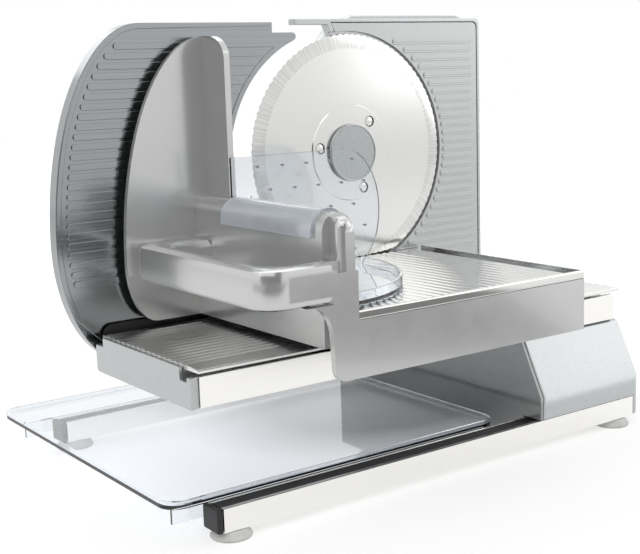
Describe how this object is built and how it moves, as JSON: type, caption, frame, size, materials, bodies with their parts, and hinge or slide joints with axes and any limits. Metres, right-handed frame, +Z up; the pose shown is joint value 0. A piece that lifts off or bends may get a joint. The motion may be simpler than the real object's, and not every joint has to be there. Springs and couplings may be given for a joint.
{
  "type": "food slicer",
  "caption": "Electric food slicer with a toothed disc blade, sliding carriage with thumb guard, clear remnant holder, adjustable ribbed stop plate and a clear tray on rails.",
  "frame": {"origin": "middle of the object's footprint, on the surface it stands on", "axes": "+X along the carriage's travel towards the motor, +Y away from the person at the machine, +Z up"},
  "size_m": [0.3828, 0.295, 0.3015],
  "materials": {
    "polished_steel": "polished stainless steel sheet",
    "brushed_steel": "plain turned or brushed steel",
    "aluminium": "satin extruded aluminium",
    "silver_paint": "satin silver paint on moulded plastic",
    "grey_enamel": "satin grey coating on pressed aluminium",
    "light_grey_plastic": "glossy moulded light grey plastic",
    "warm_grey_plastic": "satin grey plastic",
    "dark_gloss_plastic": "dark high gloss plastic",
    "black_plastic": "moulded black plastic",
    "white_rubber": "soft white rubber",
    "clear_plastic": "clear moulded plastic, faintly blue at its edges",
    "bronze": "sintered bronze",
    "nylon": "natural nylon"
  },
  "bodies": {
    "chassis": {"front_spindle_bush": "bronze", "rear_spindle_bush": "bronze", "motor": "brushed_steel", "housing_frame": "silver_paint", "face_plate": "grey_enamel", "motor_housing": "silver_paint", "guide_bush_left": "bronze", "guide_bush_right": "bronze", "beam_body": "aluminium", "beam_front_panel": "brushed_steel", "beam_end_cap": "silver_paint", "beam_deck": "polished_steel", "beam_upstand": "black_plastic", "base_shell": "silver_paint", "base_side_cover": "dark_gloss_plastic", "mains_inlet": "black_plastic", "front_rail": "polished_steel", "rear_rail": "polished_steel", "front_rail_insert": "black_plastic", "rear_rail_insert": "black_plastic", "front_rail_cap": "black_plastic", "rear_rail_cap": "black_plastic", "foot_front_left": "white_rubber", "foot_front_right": "white_rubber", "foot_rear_left": "white_rubber", "foot_rear_right": "white_rubber", "beam_front_wall": "aluminium", "beam_rear_wall": "aluminium"},
    "carriage": {"carriage_apron": "warm_grey_plastic", "carriage_grip": "light_grey_plastic", "guard_wall": "light_grey_plastic", "guard_fin": "light_grey_plastic", "carriage_table": "polished_steel", "carriage_slide": "black_plastic"},
    "holder": {"holder_saddle": "clear_plastic", "holder_plate": "clear_plastic", "holder_shelf": "clear_plastic"},
    "blade_unit": {"blade": "polished_steel", "blade_lock": "silver_paint", "blade_spindle": "brushed_steel", "drive_gear": "nylon"},
    "worm": {"worm_shaft": "brushed_steel"},
    "stop": {"stop_plate": "grey_enamel", "guide_rod_left": "brushed_steel", "guide_rod_right": "brushed_steel", "yoke_bar": "brushed_steel"},
    "adjuster": {"thickness_screw": "brushed_steel", "thickness_knob": "black_plastic"},
    "tray": {"food_tray": "clear_plastic"},
    "power": {"power_button": "light_grey_plastic"},
    "lockout": {"lockout_button": "black_plastic"}
  },
  "joints": [
    {"name": "carriage_travel", "type": "slide", "parent": "chassis", "child": "carriage", "axis": [1, 0, 0], "range_m": [-0.09, 0.08]},
    {"name": "holder_travel", "type": "slide", "parent": "carriage", "child": "holder", "axis": [0, 1, 0], "range_m": [-0.015, 0.004]},
    {"name": "plate_travel", "type": "slide", "parent": "chassis", "child": "stop", "axis": [0, 1, 0], "range_m": [0, 0.015]},
    {"name": "knob_turn", "type": "hinge", "parent": "chassis", "child": "adjuster", "pos_m": [0.1344, 0.1105, 0.0838], "axis": [0, 1, 0], "range_deg": [0, 330]},
    {"name": "blade_spin", "type": "hinge", "parent": "chassis", "child": "blade_unit", "pos_m": [0.0394, 0.0195, 0.203], "axis": [0, 1, 0], "continuous": true},
    {"name": "worm_spin", "type": "hinge", "parent": "chassis", "child": "worm", "pos_m": [0.0394, 0.055, 0.1705], "axis": [1, 0, 0], "continuous": true},
    {"name": "tray_travel", "type": "slide", "parent": "chassis", "child": "tray", "axis": [1, 0, 0], "range_m": [-0.2, 0]},
    {"name": "power_press", "type": "slide", "parent": "chassis", "child": "power", "axis": [-1, 0, 0], "range_m": [0, 0.003], "stiffness_N_per_m": 400, "springref_m": -0.002},
    {"name": "lockout_press", "type": "slide", "parent": "chassis", "child": "lockout", "axis": [-1, 0, 0], "range_m": [0, 0.003], "stiffness_N_per_m": 300, "springref_m": -0.002}
  ],
  "couplings": [
    {"joint": "knob_turn", "follows": "plate_travel", "rad_per_m": 383.9},
    {"joint": "worm_spin", "follows": "blade_spin", "ratio": 16}
  ]
}
